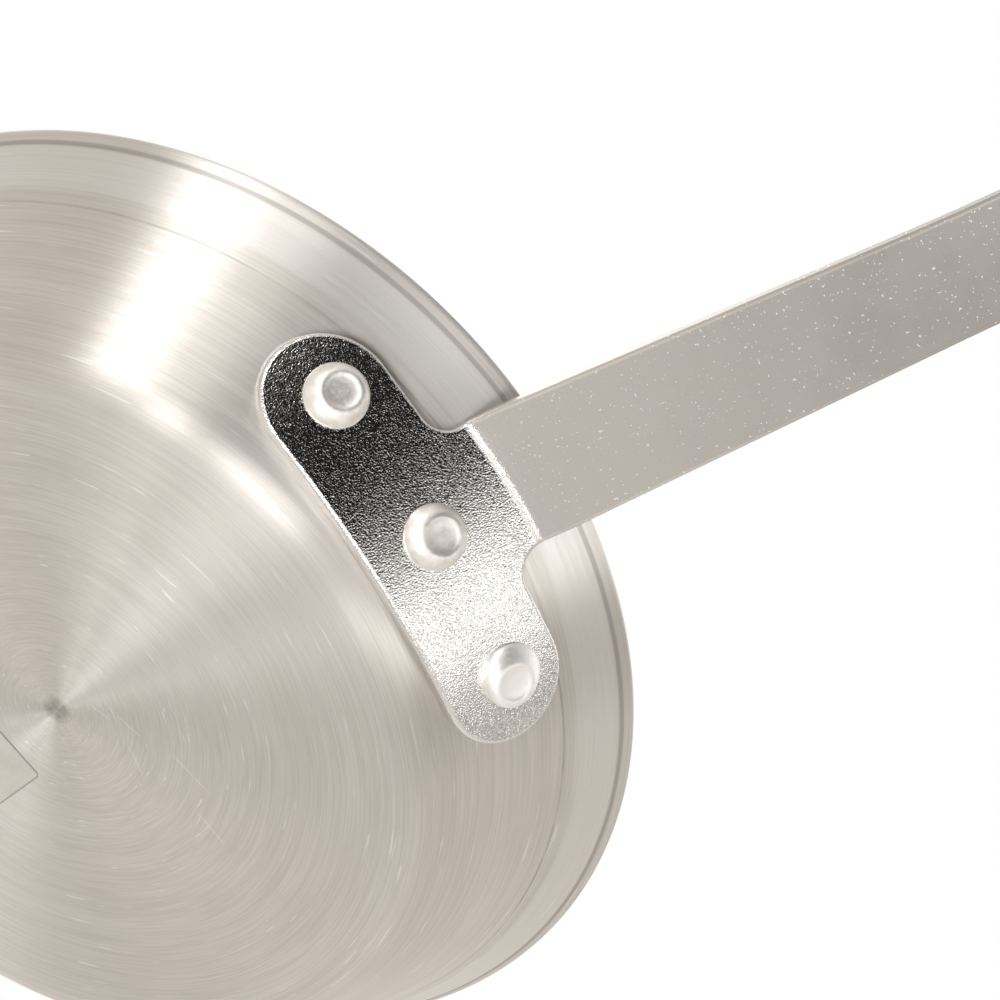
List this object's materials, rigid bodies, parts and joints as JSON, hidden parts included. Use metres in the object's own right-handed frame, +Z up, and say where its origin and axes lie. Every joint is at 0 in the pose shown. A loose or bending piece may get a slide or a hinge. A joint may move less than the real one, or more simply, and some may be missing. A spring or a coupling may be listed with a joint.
{
  "type": "fry pan",
  "caption": "Shallow spun aluminium fry pan with flared wall, riveted tee plate and long plated steel strap handle with a hanging hole.",
  "frame": {"origin": "middle of the face that the pan rests on", "axes": "+Z up out of the bowl, +X out along the handle"},
  "size_m": [0.3835, 0.2032, 0.0564],
  "materials": {
    "spun_aluminium": "spun and turned, fine concentric grooves",
    "plated_steel": "bright plating with orange peel on the plate, satin on the strap",
    "rivet_aluminium": "satin, as closed",
    "label_paper": "plain off-white, slightly glossy, blank"
  },
  "bodies": {
    "root": {"pan_body": "spun_aluminium", "handle": "plated_steel", "rivet_left": "rivet_aluminium", "rivet_middle": "rivet_aluminium", "rivet_right": "rivet_aluminium", "label": "label_paper"}
  },
  "joints": []
}
